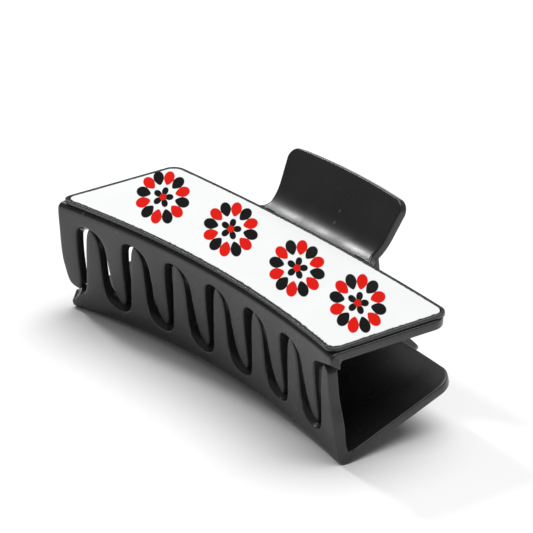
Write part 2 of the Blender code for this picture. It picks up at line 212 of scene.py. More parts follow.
# ---------------------------------------------------------------- lower jaw
# One half of the clip: a bowed plate, a toothed wall and a curved finger lever, moulded in
# one piece of matt black plastic with fine eroded grain and softly rounded edges.
LENGTH = 104.2 * MM          # along the hinge
DEPTH = 36.3 * MM            # plate, teeth face to back edge, at the ends
PIN_BEHIND = 0.8 * MM        # hinge axis behind the plate's back edge, at the ends
FRONT_SAG = 5.7 * MM         # how far the teeth face hollows in at mid-length
BACK_SAG = 2.2 * MM          # how far the back edge bulges out at mid-length
FRONT_RISE = 15.4 * MM       # outer face above the meeting plane, at the teeth face
BACK_RISE = 9.3 * MM         # outer face above the meeting plane, at the back edge
WALL = 2.4 * MM
OUTER_CORNER = 1.6 * MM      # between plate and teeth face, outside
SOFT_CORNER = 3.2 * MM       # the inside follows this one
PLATE_CORNER = 5.0 * MM
TEETH = 7
PITCH = 15.0 * MM            # from tooth to tooth
ARCH_RISE = 10.2 * MM        # top of each arch above the meeting plane
END_ARCH_RISE = 12.4 * MM    # the arch that is open at the jaw's end
TIP_REACH = 9.6 * MM         # tips below the meeting plane
TIP_LEAN = 1.0 * MM          # how far the tips curl in towards the hinge
TOOTH_SHIFT = -3.75 * MM     # the teeth's offset from an even spread
UPPER_SHIFT = -2.0 * MM      # added to it on each jaw
LOWER_SHIFT = 2.2 * MM
END_LEVELS = (0.6 * ARCH_RISE, 0.0, -0.4 * TIP_REACH, -0.86 * TIP_REACH)
UPPER_END = (-1.2 * MM, -1.7 * MM, -1.6 * MM, -0.9 * MM)    # how far in from the jaw's end
LOWER_END = (1.8 * MM, 3.2 * MM, 3.6 * MM, 4.2 * MM)        # its end tooth lies, by level
# A tooth's two sides, as shares of the pitch from its middle and heights.
TOOTH_LEFT = ((-0.25, 0.80 * ARCH_RISE), (-0.19, 0.56 * ARCH_RISE), (-0.175, 0.15 * ARCH_RISE),
              (-0.15, -0.42 * TIP_REACH), (-0.09, -0.80 * TIP_REACH))
TOOTH_RIGHT = ((0.03, -TIP_REACH), (0.11, -0.80 * TIP_REACH), (0.145, -0.35 * TIP_REACH),
               (0.18, 0.30 * ARCH_RISE), (0.24, 0.84 * ARCH_RISE), (0.39, ARCH_RISE),
               (0.61, 0.96 * ARCH_RISE))
LEVER_BASE = 38.8 * MM       # width where it leaves the plate
LEVER_TIP = 42.0 * MM        # width at the tip
LEVER_START = 4.7 * MM       # its curve starts this far ahead of the plate's back edge
LEVER_RADIUS = 11.0 * MM
LEVER_ANGLE = math.radians(54.7)
LEVER_REACH = 10.0 * MM      # straight run after the curve
LEVER_CORNER = 3.0 * MM
LEVER_FILLET = 2.4 * MM
LEVER_FADE = 4.0 * MM        # beside the lever the plate's back edge turns flat within this
PIN_DIAMETER = 2.4 * MM
CLEARANCE = 0.3 * MM
EAR_RADIUS = 4.8 * MM
EAR_WIDTH = 2.5 * MM
EAR_SIDE_GAP = 0.6 * MM      # between an ear and its neighbour on the other jaw
EAR_OUTSIDE = 19.5 * MM      # outer face of the outer ear from mid-length
EAR_ROUND = 0.3 * MM         # radius along an ear's edges
TRAY_INSET = 0.3 * MM
SEAT_GAP = 0.1 * MM          # round the tray's edge where its seat is cut into the lever
SEAT_SKIN = 0.05 * MM        # left above the plate in that seat
EDGE_ROUND = 0.42 * MM       # radius along every edge
TOOTH_CROWN = 0.16 * MM      # how far the teeth's faces fall from their middle to their edges
CROWN_REACH = 2.2 * MM       # the crown's width along the edge
TOOTH_EXTRA = 0.35 * MM      # teeth are this much thicker, on the inside
TIP_BOW = 0.7 * MM           # how far the lever's end bulges at mid-length
END_CORNER = 0.7 * MM        # radius where the open arch meets the jaw's end
BEND_REACH = 5.0 * MM        # the end line starts to lean this far up from the open arch
EDGE_STEP = 0.4 * MM         # spacing of points along the outline
FACE_STEP = 0.8 * MM         # and over the face, with finer rows round the corner
ACROSS_STEP = 0.9 * MM
CORNER_STEP = 0.35 * MM
CORNER_ZONE = 6.0 * MM
WALL_POINTS = 240            # points along the section's straight and round parts
CORNER_POINTS = 60

HALF = LENGTH / 2
FRONT = -(DEPTH + PIN_BEHIND)
BACK = -PIN_BEHIND
SLOPE = math.atan2(FRONT_RISE - BACK_RISE, DEPTH)
FOOT = -(TIP_REACH + 0.5 * MM)                   # the section starts just below the tips
SAG_SPAN = FRONT_RISE - SOFT_CORNER - FOOT       # the wall's height over which the sag's drop grows
PLATE_START = WALL_POINTS + CORNER_POINTS - 1    # the section's first point on the plate

hinge_place = np.array(frame["joints"][0]["pos_m"])
plate_up = next(m["axis"] for m in frame["record"]["mounts"] if m["name"] == "label_face")
TILT = SLOPE - math.atan2(plate_up[1], plate_up[2])


def settled(points):
    """The clip's own frame tipped about X to the way it lies, its axis on the CAD's hinge."""
    x, y, z = points.T
    cos, sin = math.cos(TILT), math.sin(TILT)
    return np.column_stack((x, y * cos - z * sin, y * sin + z * cos)) + hinge_place


def bow(x):
    """1 at mid-length, falling as the square of x to 0 at the ends."""
    return 1 - (x / HALF) ** 2


def plate_height(y):
    """The plate's outer face above the meeting plane: it falls evenly towards the hinge."""
    return FRONT_RISE - (y - FRONT) * math.tan(SLOPE)


def lever_centre(x):
    """The centre of the lever's curve in Y and Z: its radius square off the plate's face at
    the place, pushed back by the bow, where the curve starts."""
    y = BACK - LEVER_START + BACK_SAG * bow(x)
    return np.array((y, plate_height(y))) + LEVER_RADIUS * np.array((math.sin(SLOPE),
                                                                     math.cos(SLOPE)))


def section_line(radius):
    """The face's section in Y and Z with the length run so far: the leaning wall, a corner of
    this radius, the straight plate, then the lever's arc and its straight end."""
    turn = math.pi / 2 + SLOPE
    corner_start = FRONT_RISE - radius * math.tan(turn / 2)
    z = np.linspace(FOOT, corner_start, WALL_POINTS)
    lean = TIP_LEAN * (np.maximum(ARCH_RISE - z, 0) / (ARCH_RISE + TIP_REACH)) ** 2
    wall = np.column_stack((FRONT + lean, z))
    angle = math.pi - turn * np.linspace(0, 1, CORNER_POINTS)[1:]
    corner = np.column_stack((FRONT + radius * (1 + np.cos(angle)),
                              corner_start + radius * np.sin(angle)))
    y = np.linspace(corner[-1, 0], BACK - LEVER_START, 200)[1:]
    plate = np.column_stack((y, plate_height(y)))
    angle = np.linspace(-SLOPE, LEVER_ANGLE, 160)[1:]
    centre = plate[-1] + LEVER_RADIUS * np.array((math.sin(SLOPE), math.cos(SLOPE)))
    arc = centre + LEVER_RADIUS * np.column_stack((np.sin(angle), -np.cos(angle)))
    run = np.linspace(0, LEVER_REACH, 60)[1:, None]
    end = arc[-1] + run * np.array((math.cos(LEVER_ANGLE), math.sin(LEVER_ANGLE)))
    line = np.concatenate((wall, corner, plate, arc, end))
    step = np.linalg.norm(np.diff(line, axis=0), axis=1)
    return np.concatenate(((0.0,), np.cumsum(step))), line


run_along, section = section_line(OUTER_CORNER)
soft_section = section_line(SOFT_CORNER)[1]


def run_of_depth(y):
    """The run at which the plate or lever is this far back."""
    return np.interp(y, section[PLATE_START:, 0], run_along[PLATE_START:])


BACK_RUN = run_of_depth(BACK)
END_RUN = run_along[-1]


def jaw_face(x, run, section):
    """The section at a run from the teeth, pushed back by the bow of its place along the jaw.
    What moves back also drops with the plate's slope, so the plate stays flat. Away from the
    lever its curve fades out and the plate goes straight on."""
    y = np.interp(run, run_along, section[:, 0])
    z = np.interp(run, run_along, section[:, 1])
    on_lever = np.clip((LEVER_TIP / 2 + LEVER_FADE + MM - np.abs(x)) / LEVER_FADE, 0, 1)
    on_lever = on_lever ** 2 * (3 - 2 * on_lever)
    flat = plate_height(y)
    z = np.where(y > BACK - LEVER_START - MM, flat + (z - flat) * on_lever, z)
    sag = FRONT_SAG + (BACK_SAG - FRONT_SAG) * np.clip((y - FRONT) / DEPTH, 0, 1)
    shift = sag * bow(x)
    share = np.minimum((z - FOOT) / SAG_SPAN, 1)
    return np.stack((x, y + shift, z - shift * math.tan(SLOPE) * share), axis=-1)


def run_of_height(x, z):
    """The run at which the wall's face has this height at this place along the jaw."""
    drop = FRONT_SAG * bow(x) * math.tan(SLOPE) / SAG_SPAN
    return np.interp((z - drop * FOOT) / (1 - drop), section[:WALL_POINTS, 1],
                     run_along[:WALL_POINTS])


def smooth_line(points, steps):
    """A Catmull-Rom curve through the points."""
    points = np.array(points)
    points = np.concatenate((points[:1], points, points[-1:]))
    a, b, c, d = (points[i:len(points) - 3 + i, None] for i in range(4))
    t = (np.arange(steps) / steps)[None, :, None]
    curve = 0.5 * (2 * b + t * (c - a) + t ** 2 * (2 * a - 5 * b + 4 * c - d)
                   + t ** 3 * (3 * b - a - 3 * c + d))
    return np.concatenate((curve.reshape(-1, 2), points[-1:]))


def corner_arc(start, corner, end, steps=8):
    """A rounded corner: the circle-like conic from start to end that heads for the corner."""
    t = np.linspace(0, 1, steps + 1)[:, None]
    a, b, c = (1 - t) ** 2, 2 * t * (1 - t) * math.sqrt(0.5), t ** 2
    return (a * np.array(start) + b * np.array(corner) + c * np.array(end)) / (a + b + c)


def tooth_line(shift, end_line):
    """The line along arches and tooth tips, left to right: place along the jaw and height."""
    edge = [(0.5 * end_line[0] - HALF, END_ARCH_RISE)]
    edge += [(inward - HALF, height) for inward, height in zip(end_line, END_LEVELS)]
    for tooth in range(TEETH):
        middle = (tooth + 0.5 - TEETH / 2) * PITCH + TOOTH_SHIFT + shift
        points = (TOOTH_LEFT if tooth else ()) + TOOTH_RIGHT[:-1 if tooth == TEETH - 1 else None]
        edge += [(middle + share * PITCH, height) for share, height in points]
    return smooth_line(edge, 10)


def jaw_outline(shift, end_line):
    """The whole face rolled out flat, as place along the jaw and run from the teeth: tooth
    line, right end, back corner, lever tab with its fillets, back corner, left end."""
    teeth = tooth_line(shift, end_line)
    teeth = np.column_stack((teeth[:, 0], run_of_height(teeth[:, 0], teeth[:, 1])))
    arch = run_of_height(HALF, END_ARCH_RISE)
    base, tip = LEVER_BASE / 2, LEVER_TIP / 2
    low_end = END_RUN - TIP_BOW
    half = [corner_arc((HALF - END_CORNER, arch), (HALF, arch), (HALF, arch + END_CORNER), 4),
            corner_arc((HALF, BACK_RUN - PLATE_CORNER), (HALF, BACK_RUN),
                       (HALF - PLATE_CORNER, BACK_RUN), 12)]
    tab = [corner_arc((base + LEVER_FILLET, BACK_RUN), (base, BACK_RUN),
                      (base, BACK_RUN + LEVER_FILLET), 8),
           corner_arc((tip, low_end - LEVER_CORNER), (tip, low_end),
                      (tip - LEVER_CORNER, low_end + 0.2 * TIP_BOW), 10)]
    x = np.linspace(tip - LEVER_CORNER, -(tip - LEVER_CORNER), 30)[1:-1]
    bulge = np.column_stack((x, END_RUN - TIP_BOW * (x / tip) ** 2))
    back = np.concatenate((half[1], *tab))
    mirror = back[::-1] * (-1, 1)
    bend = [(-HALF, run_of_height(-HALF, END_ARCH_RISE) + BEND_REACH)]
    return np.concatenate((teeth, half[0], back, bulge, mirror, bend))


def evenly(outline, step):
    """Each side of the outline divided into equal parts no longer than a step."""
    following = np.roll(outline, -1, axis=0)
    parts = np.ceil(np.linalg.norm(following - outline, axis=1) / step).astype(int)
    start = np.repeat(np.arange(len(outline)), parts)
    share = (np.arange(len(start)) - np.repeat(np.cumsum(parts) - parts, parts)) / parts[start]
    return outline[start] + share[:, None] * (following - outline)[start]


def edge_distance(points, outline):
    """For each point the least distance to a side of the closed outline, and whether a ray
    from it along the first axis crosses the outline an odd number of times."""
    along = np.roll(outline, -1, axis=0) - outline
    nearest, inside = [], []
    for chunk in np.array_split(points, max(1, len(points) // 600)):
        to = chunk[:, None] - outline[None]
        share = np.clip((to * along).sum(-1) / (along ** 2).sum(-1), 0, 1)
        nearest.append(np.linalg.norm(to - share[..., None] * along, axis=-1).min(axis=1))
        above = outline[:, 1] > chunk[:, 1:]
        crosses = above != np.roll(above, -1, axis=1)
        with np.errstate(divide="ignore", invalid="ignore"):
            at = outline[:, 0] + along[:, 0] * (to[..., 1] / along[:, 1])
        inside.append((crosses & (chunk[:, :1] < at)).sum(axis=1) % 2 == 1)
    return np.concatenate(nearest), np.concatenate(inside)


def filled_outline(outline, rings, inner, keep_off, lines=()):
    """Triangles that fill a flat outline given anticlockwise. Points lie on the outline, on
    rings at set distances inside it, on the inner grid where that is further in than
    keep_off, and on any extra lines. Gives the points, triangles and edge distances."""
    side = np.roll(outline, -1, axis=0) - np.roll(outline, 1, axis=0)
    inward = np.column_stack((-side[:, 1], side[:, 0])) / np.linalg.norm(side, axis=1)[:, None]
    loose = []
    for ring in rings:
        points = outline + ring * inward
        distance, inside = edge_distance(points, outline)
        loose.append(points[inside & (distance > 0.97 * ring)])
    for points, margin in ((inner, keep_off), *((line, rings[-1]) for line in lines)):
        distance, inside = edge_distance(points, outline)
        loose.append(points[inside & (distance > margin)])
    points = np.concatenate((outline, *loose)) / MM
    found = delaunay_2d_cdt([Vector(p) for p in points], [], [list(range(len(outline)))], 1, 1e-5)
    flat = np.array([tuple(p) for p in found[0]]) * MM
    triangles = np.array([tuple(t) for t in found[2]])
    a, b, c = (flat[triangles[:, i]] for i in range(3))
    area = (b - a)[:, 0] * (c - a)[:, 1] - (b - a)[:, 1] * (c - a)[:, 0]
    triangles[area < 0] = triangles[area < 0][:, ::-1]
    distance, _ = edge_distance(flat, outline)
    distance[distance < 1e-7] = 0
    return flat, triangles, distance


def both_faces(triangles, count):
    """Closes a filled outline: its triangles for the upper face, the same turned over for
    the lower face, whose points follow the upper ones, and a band along the open edge."""
    ends = np.concatenate((triangles[:, :2], triangles[:, 1:], triangles[:, ::-2]))
    key = np.sort(ends, axis=1)
    _, first, times = np.unique(key, axis=0, return_index=True, return_counts=True)
    a, b = ends[first[times == 1]].T
    band = np.column_stack((b, a, a + count, b + count))
    return [*triangles.tolist(), *(triangles[:, ::-1] + count).tolist(), *band.tolist()]


def smoothed(values, triangles, fixed, rounds, share=0.5):
    """Each value moved part of the way to its neighbours' mean, so many times over."""
    a, b = np.concatenate((triangles[:, :2], triangles[:, 1:], triangles[:, ::-2])).T
    times = np.bincount(a, minlength=len(values)) + np.bincount(b, minlength=len(values))
    for _ in range(rounds):
        total = (np.bincount(a, values[b], len(values)) + np.bincount(b, values[a], len(values)))
        values = np.where(fixed, values, values + share * (total / np.maximum(times, 1) - values))
    return values


def make_piece(name, points, faces, material, body, nodes, edge=None):
    """A smooth-shaded mesh object at the origin that rides on a body in place of CAD nodes."""
    mesh = bpy.data.meshes.new(name)
    mesh.from_pydata(points.tolist(), [], [list(map(int, f)) for f in faces])
    mesh.shade_smooth()
    if edge is not None:
        mesh.attributes.new("edge", "FLOAT", "POINT").data.foreach_set(
            "value", edge.astype(np.float32))
    mesh.materials.append(material)
    obj = bpy.data.objects.new(name, mesh)
    bpy.context.scene.collection.objects.link(obj)
    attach(obj, body)
    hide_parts(*nodes)
    return obj


def ear(middle):
    """A hinge ear as a ring round the pin: a rounded oblong section carried once round, its
    inner side on the bore and its outer side on the ear's outline, which is round below and
    runs up into plate and lever above."""
    angle = np.linspace(-math.pi, math.pi, 96, endpoint=False)
    centre = lever_centre(middle)
    y = np.linspace(EAR_RADIUS, 0, 8)
    top = np.column_stack((y, centre[1] - np.sqrt((LEVER_RADIUS + WALL / 2) ** 2
                                                 - (y - centre[0]) ** 2)))
    round_part = np.linspace(math.pi, 2 * math.pi, 40)
    outline = np.concatenate((
        EAR_RADIUS * np.column_stack((np.cos(round_part), np.sin(round_part))), top,
        [(-EAR_RADIUS, plate_height(-EAR_RADIUS) - WALL / 2)]))
    outline = evenly(outline, 0.2 * MM)
    order = np.argsort(np.arctan2(outline[:, 1], outline[:, 0]))
    reach = np.interp(angle, np.arctan2(outline[order, 1], outline[order, 0]),
                      np.linalg.norm(outline[order], axis=1), period=2 * math.pi)
    bore = PIN_DIAMETER / 2 + CLEARANCE
    bend = np.linspace(0, math.pi / 2, 5)
    out = np.column_stack((1 - np.cos(bend), np.sin(bend)))
    half = EAR_WIDTH / 2
    shares = []
    for sign, side in ((-1, 0), (1, 0), (1, 1), (-1, 1)):
        along = sign * (half - EAR_ROUND * (1 - out[:, 1]))
        across = EAR_ROUND * out[:, 0]
        pair = np.column_stack((across, along))
        shares.append((side, pair if (sign > 0) == (side == 0) else pair[::-1]))
    ring_side = np.concatenate([np.full(len(p), s) for s, p in shares])
    ring = np.concatenate([p for _, p in shares])
    radius = np.where(ring_side == 0, bore + ring[:, 0], reach[:, None] - ring[:, 0])
    return np.stack((middle + ring[:, 1] + 0 * radius, radius * np.cos(angle)[:, None],
                     radius * np.sin(angle)[:, None]), axis=-1)


def grid_faces(rows, columns, wrap_rows, offset=0):
    """Quads between neighbouring points of a grid whose rows close on themselves; its last
    row may join its first."""
    r = np.arange(rows if wrap_rows else rows - 1)[:, None]
    c = np.arange(columns)[None]
    r2, c2 = (r + 1) % rows, (c + 1) % columns
    quads = np.stack((r * columns + c, r * columns + c2, r2 * columns + c2, r2 * columns + c), -1)
    return quads.reshape(-1, 4) + offset


def face_and_outward(x, run, section):
    """Points of a face and its unit normals, from small steps along the jaw and up it."""
    step = 0.12 * MM
    along = jaw_face(x + step, run, section) - jaw_face(x - step, run, section)
    up = jaw_face(x, run + step, section) - jaw_face(x, np.maximum(run - step, 0), section)
    outward = np.cross(along, up)
    return jaw_face(x, run, section), outward / np.linalg.norm(outward, axis=1)[:, None]


def jaw_surface(shift, end_line):
    """One jaw, rolled out flat and filled, then laid on the bowed outer face. The wall's two
    faces stand half its thickness either side of its middle; along edges the thickness falls
    off in a quarter round, and across the teeth in a shallow crown."""
    outline = evenly(jaw_outline(shift, end_line), EDGE_STEP)
    corner_run = run_along[WALL_POINTS - 1]
    runs = np.concatenate((np.arange(0.5 * MM, corner_run, FACE_STEP),
                           np.arange(corner_run, corner_run + CORNER_ZONE, CORNER_STEP),
                           np.arange(corner_run + CORNER_ZONE, END_RUN, FACE_STEP)))
    across = np.arange(-HALF, HALF, ACROSS_STEP)
    inner = np.stack(np.meshgrid(across, runs), axis=-1).reshape(-1, 2)
    x = np.arange(-LEVER_TIP / 2 - LEVER_FADE, LEVER_TIP / 2 + LEVER_FADE, 0.5 * MM)
    seat_back = BACK - TRAY_INSET + SEAT_GAP
    seat_run = run_of_depth(seat_back)
    lines = [np.column_stack((x, np.full_like(x, seat_run + step)))
             for step in (-0.02 * MM, 0.06 * MM)]
    rings = EDGE_ROUND * np.array((0.08, 0.25, 0.55, 1.0, 1.9, 3.2))
    flat, triangles, distance = filled_outline(outline, rings, inner, rings[-1] + 0.4 * MM, lines)
    x, run = flat.T
    face, outward = face_and_outward(x, run, section)
    soft_face, soft_outward = face_and_outward(x, run, soft_section)
    tooth = np.clip((ARCH_RISE + 1.5 * MM - face[:, 2]) / (5 * MM), 0, 1)
    tooth = tooth ** 2 * (3 - 2 * tooth)
    crown = TOOTH_CROWN * tooth * (1 - np.minimum(distance / CROWN_REACH, 1)) ** 2
    edge = EDGE_ROUND - np.minimum(distance, EDGE_ROUND)
    edge = EDGE_ROUND - np.sqrt(EDGE_ROUND ** 2 - edge ** 2)
    sunk = edge + smoothed(crown, triangles, distance < 0.9 * MM, 6)
    outer = face - outward * sunk[:, None]
    inside = soft_face - soft_outward * (WALL + TOOTH_EXTRA * tooth - edge)[:, None]
    level = plate_height(outer[:, 1]) + SEAT_SKIN
    in_seat = ((outer[:, 1] < seat_back + BACK_SAG * bow(outer[:, 0])) & (outer[:, 1] > FRONT / 2)
               & (np.abs(x) < LEVER_TIP))
    outer[:, 2] = np.where(in_seat, np.minimum(outer[:, 2], level), outer[:, 2])
    faces = both_faces(triangles, len(flat))
    points = [outer, inside]
    edges = [distance, distance]
    total = 2 * len(flat)
    first = EAR_OUTSIDE - EAR_WIDTH / 2
    for place in (first, -(first - EAR_WIDTH - EAR_SIDE_GAP)):
        ring = ear(place)
        faces += grid_faces(*ring.shape[:2], True, total).tolist()
        points.append(ring.reshape(-1, 3))
        edges.append(np.full(len(points[-1]), 1.5 * MM))
        total += len(points[-1])
    return np.concatenate(points), faces, np.concatenate(edges)


def black_plastic(name, shade, roughness, grain):
    """Moulded black plastic: cloudy tone, fine grain, a highlight painted lighter along the edges,
    which are also a little glossier, and a few dust specks.
    """
    finish = Finish(name, roughness)
    tone = finish.spread(finish.noise(45.0, 3.0), 0.35, 0.65, 0.0, 1.0)
    fine = finish.noise(2600.0, 3.0)
    # nearness to an edge: it paints a highlight into the colour and lowers the roughness there
    edge_highlight_and_polish = finish.spread(finish.attribute("edge"), 0.0, 0.9 * MM, 1.0, 0.0)
    dark, light = ([c * k for c in shade] for k in (0.86, 1.16))
    colour = finish.mix(tone, dark, light)
    # painted highlight: the colour is lightened within 0.9 mm of every edge
    colour = finish.mix(finish.math("MULTIPLY", edge_highlight_and_polish, 0.35), colour, [c * 2.2 for c in shade])
    specks = finish.spread(finish.noise(620.0, 0.0), 0.83, 0.86, 0.0, 1.0)
    colour = finish.mix(finish.math("MULTIPLY", specks, 0.5), colour, (0.16, 0.16, 0.15))
    gloss = finish.spread(finish.noise(130.0, 2.0), 0.3, 0.7, roughness - 0.05, roughness + 0.05)
    gloss = finish.math("SUBTRACT", gloss, finish.math("MULTIPLY", edge_highlight_and_polish, 0.08))
    relief = finish.bump(fine, grain)
    relief = finish.bump(finish.noise(240.0, 1.0), 6 * grain, 0.25, relief)
    return finish.set(Base_Color=colour, Roughness=gloss, Normal=relief)


jaw_plastic = black_plastic("matt_black_plastic", (0.015, 0.015, 0.015), 0.31, 0.000012)
jaw_points, jaw_faces, jaw_edges = jaw_surface(LOWER_SHIFT, LOWER_END)
make_piece("lower_jaw_moulding", settled(jaw_points * (-1, 1, -1)), jaw_faces, jaw_plastic,
           "lower_half", ["lower_jaw"], jaw_edges)

# ---------------------------------------------------------------- hinge pin
# A plain rod of bright drawn steel, cut to length with slightly domed ends. It is pushed
# through the four ears of the two jaws and carries the torsion spring between them.
PIN_OVERHANG = 0.8 * MM
PIN_DOME = 0.35 * MM


def turned_rod(radius, half_length, dome, sides=40):
    """A rod along X, its outline turned round the axis: flat, dome, side, dome, flat."""
    bend = np.linspace(0, math.pi / 2, 7)
    reach = half_length - dome * (1 - np.cos(bend))
    radii = radius - dome * (1 - np.sin(bend[::-1]))
    x = np.concatenate(((-half_length,), -reach, reach[::-1], (half_length,)))
    r = np.concatenate(((0.0,), radii, radii[::-1], (0.0,)))
    angle = np.linspace(0, 2 * math.pi, sides, endpoint=False)
    return np.stack((x[:, None] + 0 * angle, r[:, None] * np.cos(angle),
                     r[:, None] * np.sin(angle)), axis=-1)


def welded_grid(points):
    """A grid of rings whose first and last rings are single points, as points and faces."""
    rows, columns, _ = points.shape
    body = points[1:-1].reshape(-1, 3)
    quads = grid_faces(rows - 2, columns, False, 1).tolist()
    ring = np.arange(columns)
    last = len(body) + 1
    start = np.column_stack((0 * ring, 1 + (ring + 1) % columns, 1 + ring)).tolist()
    foot = last - columns
    end = np.column_stack((0 * ring + last, foot + ring, foot + (ring + 1) % columns)).tolist()
    return np.concatenate((points[0, :1], body, points[-1, :1])), quads + start + end


def drawn_steel(name, shade, roughness, stretch):
    """Bright steel with fine lines the way it was drawn."""
    finish = Finish(name, roughness, metallic=1.0)
    lines = finish.noise(700.0, 3.0, stretch)
    colour = finish.mix(finish.spread(lines, 0.3, 0.7, 0.0, 1.0), [0.8 * c for c in shade], shade)
    gloss = finish.spread(finish.noise(300.0, 2.0), 0.3, 0.7, roughness - 0.06, roughness + 0.1)
    return finish.set(Base_Color=colour, Roughness=gloss, Normal=finish.bump(lines, 0.000005))


pin_points, pin_faces = welded_grid(
    turned_rod(PIN_DIAMETER / 2, EAR_OUTSIDE + PIN_OVERHANG, PIN_DOME))
make_piece("hinge_pin_rod", settled(pin_points), pin_faces,
           drawn_steel("pin_steel", (0.62, 0.62, 0.61), 0.28, (0.04, 1.0, 1.0)),
           "lower_half", ["hinge_pin"])

# ---------------------------------------------------------------- torsion spring
# Seven turns of hard-drawn wire round the pin; its legs press the levers apart. The last
# part-turn swings with the upper leg, so it is a piece of its own.
WIRE = 1.2 * MM
COIL_RADIUS = 3.4 * MM       # to the middle of the wire
COIL_PITCH = 1.5 * MM
COIL_TURNS = 7
LEG_LENGTH = 15.0 * MM
LEG_ARC = math.radians(150)  # part of the last turn that swings with the upper leg
TURN_POINTS = 56             # points to a turn
LEG_POINTS = 16


def spring_lines():
    """The wire's centreline: a straight leg, a helix round the axis, and for the swinging
    part the last 150 degrees at one place along the pin and its straight leg."""
    lever = lever_centre(0)
    reach = COIL_RADIUS + LEVER_RADIUS + WALL + WIRE / 2 + CLEARANCE
    angle = math.atan2(-lever[0], lever[1]) + math.acos(reach / np.linalg.norm(lever))
    start = COIL_RADIUS * np.array((-math.sin(angle), math.cos(angle)))
    heading = np.array((math.cos(angle), math.sin(angle)))
    first = -(math.pi / 2 + angle)
    split = math.pi / 2 + angle - 2 * math.pi * COIL_TURNS + LEG_ARC
    left = -COIL_PITCH * COIL_TURNS / 2
    run = np.linspace(0, LEG_LENGTH, LEG_POINTS)[:, None]
    leg = start + run * heading
    lower = np.column_stack((np.full(LEG_POINTS, left), leg[:, 0], -leg[:, 1]))[::-1]
    turn = np.linspace(first, split, round((first - split) / (2 * math.pi) * TURN_POINTS))[1:]
    coil = np.column_stack((left + COIL_PITCH * (first - turn) / (2 * math.pi),
                            COIL_RADIUS * np.cos(turn), COIL_RADIUS * np.sin(turn)))
    across = coil[-1, 0] + WIRE + CLEARANCE
    turn = np.linspace(split, split - LEG_ARC, round(LEG_ARC / (2 * math.pi) * TURN_POINTS))
    swing = np.column_stack((np.full(len(turn), across), COIL_RADIUS * np.cos(turn),
                             COIL_RADIUS * np.sin(turn)))[:-1]
    upper = np.column_stack((np.full(LEG_POINTS, across), leg))
    return np.concatenate((lower, coil)), np.concatenate((swing, upper))


def wire_tube(line, diameter, sides=18):
    """A round section carried along the line, square to it, ending in small domes."""
    heading = np.gradient(line, axis=0)
    heading /= np.linalg.norm(heading, axis=1)[:, None]
    side = np.cross(heading, (1.0, 0.0, 0.0))
    side /= np.linalg.norm(side, axis=1)[:, None]
    other = np.cross(heading, side)
    bend = np.linspace(0, math.pi / 2, 5)
    dome = 0.25 * diameter
    lead = -dome * np.cos(bend)
    size = diameter / 2 - dome * (1 - np.sin(bend))
    size[0] = 0.75 * size[0]
    line = np.concatenate((line[:1] + lead[:, None] * heading[:1], line,
                           line[-1:] - lead[::-1, None] * heading[-1:]))
    ends = len(bend)
    side, other = (np.pad(across, ((ends, ends), (0, 0)), mode="edge") for across in (side, other))
    radius = np.concatenate((size, np.full(len(line) - 2 * ends, diameter / 2), size[::-1]))
    angle = np.linspace(0, 2 * math.pi, sides, endpoint=False)
    circle = (np.cos(angle)[:, None] * side[:, None] + np.sin(angle)[:, None] * other[:, None])
    rings = line[:, None] + radius[:, None, None] * circle
    first, last = (np.repeat(line[i][None, None], sides, axis=1) for i in (0, -1))
    return welded_grid(np.concatenate((first, rings, last)))


spring_wire = drawn_steel("spring_steel", (0.46, 0.46, 0.44), 0.3, (1.0, 1.0, 1.0))
coil_line, swing_line = spring_lines()
for name, line, body, node in (("spring_coil_wire", coil_line, "lower_half", "spring_coil"),
                               ("spring_leg_wire", swing_line, "upper_half", "spring_upper_leg")):
    wire_points, wire_faces = wire_tube(line, WIRE)
    make_piece(name, settled(wire_points), wire_faces, spring_wire, body, [node])

# ---------------------------------------------------------------- upper jaw
# A moulding in the same matt black plastic, the right way up. Its plate and lever are the
# lower jaw's; its teeth start further along, so that they stand in the lower jaw's arches,
# and its ears sit beside the lower jaw's on the pin.
jaw_points, jaw_faces, jaw_edges = jaw_surface(UPPER_SHIFT, UPPER_END)
make_piece("upper_jaw_moulding", settled(jaw_points), jaw_faces, jaw_plastic,
           "upper_half", ["upper_jaw"], jaw_edges)

# ---------------------------------------------------------------- label tray
# A shallow satin-black plastic tray snapped flat on the plate. Its outer foot is undercut,
# which leaves a dark groove round it, and its rim stands up round the label.
TRAY_GAP = 0.12 * MM         # between plate and tray
TRAY_HEIGHT = 1.1 * MM
TRAY_FLOOR = 0.35 * MM
TRAY_CORNER = 3.0 * MM
RIM = 0.9 * MM               # the rim's width
RIM_ROUND = 0.3 * MM         # radius of its outer edge
LIP_ROUND = 0.12 * MM        # radius of its inner edge
UNDERCUT = 0.1 * MM          # the foot's height and width


def plate_outline(inset, radius):
    """The plate seen from above, pulled in by inset, with round corners, anticlockwise."""
    end = HALF - inset
    side = end - radius

    def front(x):
        return FRONT + inset + FRONT_SAG * bow(x)

    def back(x):
        return BACK - inset + BACK_SAG * bow(x)

    right = [corner_arc((side, front(side)), (end, front(end)), (end, front(end) + radius), 10),
             corner_arc((end, back(end) - radius), (end, back(end)), (side, back(side)), 10)]
    x = np.linspace(side, -side, 80)[1:-1]
    left = np.concatenate(right)[::-1] * (-1, 1)
    return np.concatenate((*right, np.column_stack((x, back(x))), left,
                           np.column_stack((-x, front(-x)))))


def plate_layer(inset, radius, rings, spacing, top, bottom):
    """A layer lying on the plate: its outline filled, and its two faces set above the plate
    by functions of the distance from the edge. The plate falls evenly towards the hinge."""
    outline = evenly(plate_outline(inset, radius), 0.8 * MM)
    x, y = np.arange(-HALF, HALF, spacing), np.arange(FRONT, BACK + BACK_SAG, spacing)
    inner = np.stack(np.meshgrid(x, y), axis=-1).reshape(-1, 2)
    flat, triangles, distance = filled_outline(outline, rings, inner, rings[-1] + 0.5 * spacing)
    faces = [np.column_stack((flat, plate_height(flat[:, 1]) + height(distance)))
             for height in (top, bottom)]
    return (np.concatenate(faces), both_faces(triangles, len(flat)),
            np.concatenate((distance, distance)))


